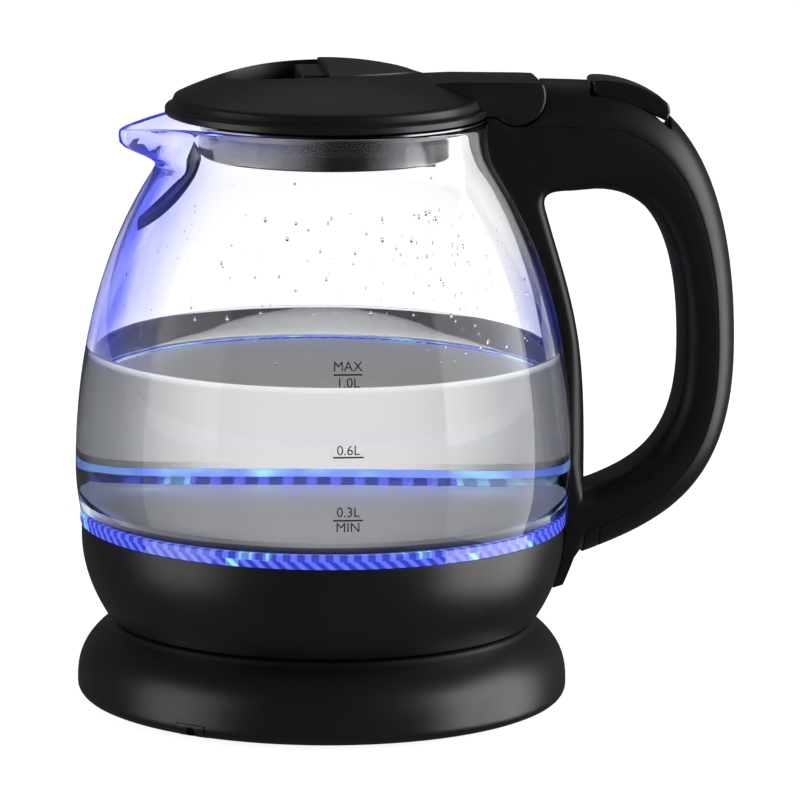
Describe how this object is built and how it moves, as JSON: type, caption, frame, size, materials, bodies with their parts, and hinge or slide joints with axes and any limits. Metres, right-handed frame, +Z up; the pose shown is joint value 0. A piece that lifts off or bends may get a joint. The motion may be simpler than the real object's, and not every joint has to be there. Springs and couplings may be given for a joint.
{
  "type": "electric kettle",
  "caption": "Cordless glass electric kettle on a round power base, with a lit ring, a hinged lid and a loop handle.",
  "frame": {"origin": "on the jug's turning axis, in the plane that the power base stands on", "axes": "+Z up, +X towards the handle, -X towards the spout"},
  "size_m": [0.2072, 0.1544, 0.2016],
  "materials": {
    "black_plastic": "satin moulded plastic",
    "handle_plastic": "fine-grained moulded plastic",
    "gloss_black": "polished moulded plastic",
    "dark_plastic": "plain moulded plastic",
    "pale_plastic": "heat-resistant moulding",
    "rubber": "soft rubber",
    "silicone": "silicone",
    "clear_glass": "polished borosilicate",
    "light_guide": "faceted clear acrylic",
    "stainless": "brushed",
    "mesh_steel": "woven mesh",
    "screw_steel": "zinc plated",
    "element_steel": "heat-tinted tube",
    "cast_aluminium": "cast",
    "bimetal": "stamped disc",
    "contact_brass": "bright",
    "board": "coated circuit board",
    "led": "clear moulded",
    "lead_sleeve": "silicone sleeve"
  },
  "bodies": {
    "power_base": {"base_cover": "black_plastic", "base_plate": "dark_plastic", "base_feet": "rubber", "base_screws": "screw_steel", "cord_gland": "dark_plastic", "socket_body": "dark_plastic", "live_contact": "contact_brass", "neutral_contact": "contact_brass", "earth_contact": "contact_brass"},
    "socket_guard_body": {"socket_guard": "pale_plastic"},
    "jug": {"glass_jug": "clear_glass", "light_ring": "light_guide", "led_board": "board", "leds": "led", "glass_seal": "silicone", "heating_plate": "stainless", "heat_spreader": "cast_aluminium", "heating_element": "element_steel", "element_terminals": "element_steel", "lower_shell": "black_plastic", "bottom_cover": "dark_plastic", "bottom_screws": "screw_steel", "control_unit": "pale_plastic", "live_pin": "contact_brass", "neutral_ring": "contact_brass", "earth_ring": "contact_brass", "dry_boil_discs": "bimetal", "neck_collar": "black_plastic", "filter_frame": "black_plastic", "filter_mesh": "mesh_steel", "handle_bracket": "handle_plastic", "handle_inner": "handle_plastic", "handle_outer": "handle_plastic", "handle_end_cap": "handle_plastic", "handle_screws": "screw_steel", "switch_housing": "pale_plastic", "steam_disc": "bimetal", "switch_leads": "lead_sleeve", "switch_pin": "screw_steel", "hinge_pin": "screw_steel"},
    "lid": {"lid_cover": "black_plastic", "lid_grip": "gloss_black", "lid_underplate": "dark_plastic", "steam_duct": "dark_plastic", "lid_seal": "silicone", "lid_screws": "screw_steel"},
    "rocker": {"switch_rocker": "gloss_black"}
  },
  "joints": [
    {"name": "jug_swivel", "type": "hinge", "parent": "power_base", "child": "socket_guard_body", "pos_m": [0, 0, 0.034], "axis": [0, 0, 1], "continuous": true},
    {"name": "jug_lift", "type": "slide", "parent": "socket_guard_body", "child": "jug", "axis": [0, 0, 1], "range_m": [0, 0.06]},
    {"name": "lid_hinge", "type": "hinge", "parent": "jug", "child": "lid", "pos_m": [0.058, 0, 0.19], "axis": [0, 1, 0], "range_deg": [0, 80]},
    {"name": "power_switch", "type": "hinge", "parent": "jug", "child": "rocker", "pos_m": [0.0935, 0, 0.1824], "axis": [0, 1, 0], "range_deg": [0, 8]}
  ]
}
